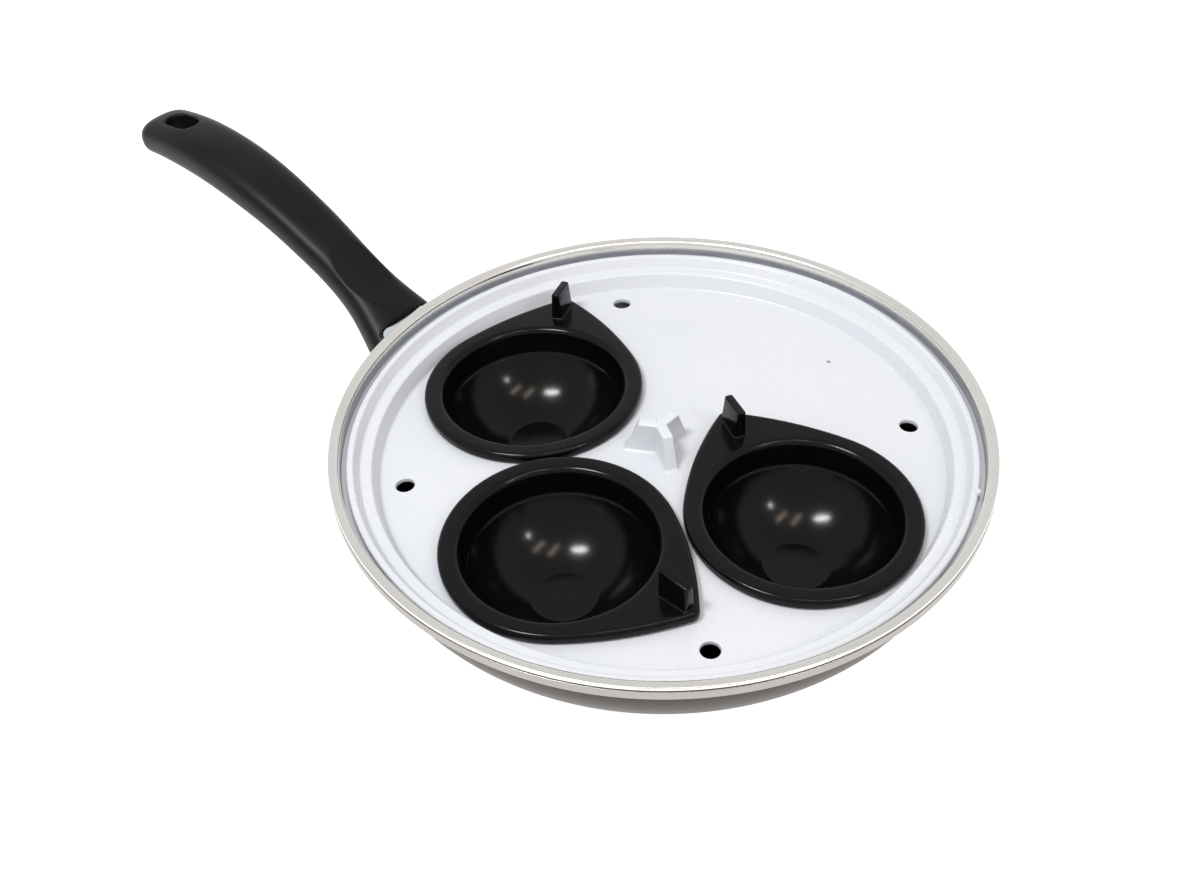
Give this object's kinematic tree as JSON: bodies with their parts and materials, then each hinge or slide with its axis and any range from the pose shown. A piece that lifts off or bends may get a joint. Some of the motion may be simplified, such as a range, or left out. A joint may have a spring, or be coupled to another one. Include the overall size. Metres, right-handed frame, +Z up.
{
  "type": "egg poacher pan",
  "caption": "Shallow round pan with a rolled rim and a long handle, a lift-out tray with a knob, and loose egg cups with lifting tabs.",
  "frame": {"origin": "middle of the flat base, on the surface that the pan stands on", "axes": "+Z up along the pan's axis, -X along the handle, +Y across it"},
  "size_m": [0.3536, 0.208, 0.0663],
  "materials": {
    "pan_metal": "bright warm rolled rim, satin taupe outside, brushed inside",
    "bracket_steel": "plain pressed steel",
    "rivet_metal": "smooth",
    "guard_metal": "bright",
    "grip_plastic": "satin black with a fine grain",
    "screw_steel": "plated",
    "tray_plastic": "smooth white moulding",
    "cup_plastic": "glossy black moulding"
  },
  "bodies": {
    "pan": {"pan_body": "pan_metal", "handle_bracket": "bracket_steel", "bracket_rivets": "rivet_metal", "flame_guard": "guard_metal", "grip": "grip_plastic", "grip_screw": "screw_steel", "screw_washer": "screw_steel"},
    "tray": {"egg_tray": "tray_plastic"},
    "cup_a": {"cup_1": "cup_plastic"},
    "cup_b": {"cup_2": "cup_plastic"},
    "cup_c": {"cup_3": "cup_plastic"}
  },
  "joints": [
    {"name": "tray_lift", "type": "slide", "parent": "pan", "child": "tray", "axis": [0, 0, 1], "range_m": [0, 0.06]},
    {"name": "cup_1_lift", "type": "slide", "parent": "tray", "child": "cup_a", "axis": [0, 0, 1], "range_m": [0, 0.045]},
    {"name": "cup_2_lift", "type": "slide", "parent": "tray", "child": "cup_b", "axis": [0, 0, 1], "range_m": [0, 0.045]},
    {"name": "cup_3_lift", "type": "slide", "parent": "tray", "child": "cup_c", "axis": [0, 0, 1], "range_m": [0, 0.045]}
  ]
}
